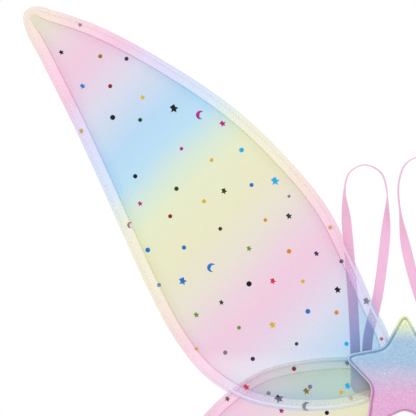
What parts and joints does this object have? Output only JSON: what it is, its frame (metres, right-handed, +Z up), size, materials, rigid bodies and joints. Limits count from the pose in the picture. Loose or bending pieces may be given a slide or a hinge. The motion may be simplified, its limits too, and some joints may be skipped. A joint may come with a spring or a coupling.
{
  "type": "fairy wings",
  "caption": "Child's dress-up fairy wings: sheer pastel wings on wire hoops, a puffy glitter star at the hub, a soft back pad and elastic arm loops.",
  "frame": {"origin": "middle of the back pad's rear face, the face that lies on the wearer's back", "axes": "+Z up, +Y towards the wearer, +X to the right of someone who looks at the star"},
  "size_m": [0.6092, 0.0626, 0.463],
  "materials": {
    "spring_steel": "spring wire, white enamel",
    "brass": "crimped sleeve",
    "upper_hem": "folded sheer nylon, printed pastel bands",
    "lower_hem": "folded sheer nylon, printed pastel bands",
    "upper_mesh": "sheer nylon mesh, printed pastel bands and foil confetti",
    "lower_mesh": "sheer nylon mesh, printed pastel bands and foil confetti",
    "hub_board": "stiff plastic board",
    "felt": "felt",
    "pad_fabric": "brushed knit",
    "pad_foam": "soft foam, open",
    "elastic": "flat woven elastic",
    "glitter_fabric": "glitter film on cloth, yellow-green through blue and lilac to pink",
    "wadding": "polyester wadding",
    "thread": "sewing thread"
  },
  "bodies": {
    "hub": {"upper_left_wire_top_end": "spring_steel", "upper_left_wire_bottom_end": "spring_steel", "upper_left_casing_root": "upper_hem", "upper_left_mesh_root": "upper_mesh", "upper_left_ferrule": "brass", "upper_right_wire_top_end": "spring_steel", "upper_right_wire_bottom_end": "spring_steel", "upper_right_casing_root": "upper_hem", "upper_right_mesh_root": "upper_mesh", "upper_right_ferrule": "brass", "lower_left_wire_top_end": "spring_steel", "lower_left_wire_bottom_end": "spring_steel", "lower_left_casing_root": "lower_hem", "lower_left_mesh_root": "lower_mesh", "lower_left_ferrule": "brass", "lower_right_wire_top_end": "spring_steel", "lower_right_wire_bottom_end": "spring_steel", "lower_right_casing_root": "lower_hem", "lower_right_mesh_root": "lower_mesh", "lower_right_ferrule": "brass", "left_outer_loop_tail": "elastic", "left_inner_loop_tail": "elastic", "left_thread_tie": "thread", "right_outer_loop_tail": "elastic", "right_inner_loop_tail": "elastic", "right_thread_tie": "thread", "hub_back_plate": "hub_board", "hub_divider": "felt", "hub_front_plate": "hub_board", "back_pad_cover": "pad_fabric", "back_pad_core": "pad_foam", "star_back_panel": "glitter_fabric", "star_padding": "wadding", "star_front_cover": "glitter_fabric"},
    "upper_left_wing": {"upper_left_wire": "spring_steel", "upper_left_casing": "upper_hem", "upper_left_mesh": "upper_mesh"},
    "upper_right_wing": {"upper_right_wire": "spring_steel", "upper_right_casing": "upper_hem", "upper_right_mesh": "upper_mesh"},
    "lower_left_wing": {"lower_left_wire": "spring_steel", "lower_left_casing": "lower_hem", "lower_left_mesh": "lower_mesh"},
    "lower_right_wing": {"lower_right_wire": "spring_steel", "lower_right_casing": "lower_hem", "lower_right_mesh": "lower_mesh"},
    "left_loop": {"left_arm_loop": "elastic"},
    "right_loop": {"right_arm_loop": "elastic"}
  },
  "joints": [
    {"name": "upper_left_flex", "type": "hinge", "parent": "hub", "child": "upper_left_wing", "pos_m": [-0.04961, -0.019, 0.02], "axis": [0, 0, -1], "range_deg": [-45, 45], "stiffness_Nm_per_rad": 0.3},
    {"name": "lower_left_flex", "type": "hinge", "parent": "hub", "child": "lower_left_wing", "pos_m": [-0.04961, -0.014, 0.02], "axis": [0, 0, -1], "range_deg": [-45, 45], "stiffness_Nm_per_rad": 0.3},
    {"name": "upper_right_flex", "type": "hinge", "parent": "hub", "child": "upper_right_wing", "pos_m": [0.04961, -0.019, 0.02], "axis": [0, 0, 1], "range_deg": [-45, 45], "stiffness_Nm_per_rad": 0.3},
    {"name": "lower_right_flex", "type": "hinge", "parent": "hub", "child": "lower_right_wing", "pos_m": [0.04961, -0.014, 0.02], "axis": [0, 0, 1], "range_deg": [-45, 45], "stiffness_Nm_per_rad": 0.3},
    {"name": "left_loop_fold", "type": "hinge", "parent": "hub", "child": "left_loop", "pos_m": [-0.0336, -0.0103, 0.02], "axis": [-1, 0, 0], "range_deg": [0, 90]},
    {"name": "right_loop_fold", "type": "hinge", "parent": "hub", "child": "right_loop", "pos_m": [0.0336, -0.0103, 0.02], "axis": [-1, 0, 0], "range_deg": [0, 90]}
  ],
  "couplings": [
    {"joint": "lower_left_flex", "follows": "upper_left_flex", "ratio": 1},
    {"joint": "lower_right_flex", "follows": "upper_right_flex", "ratio": 1}
  ]
}
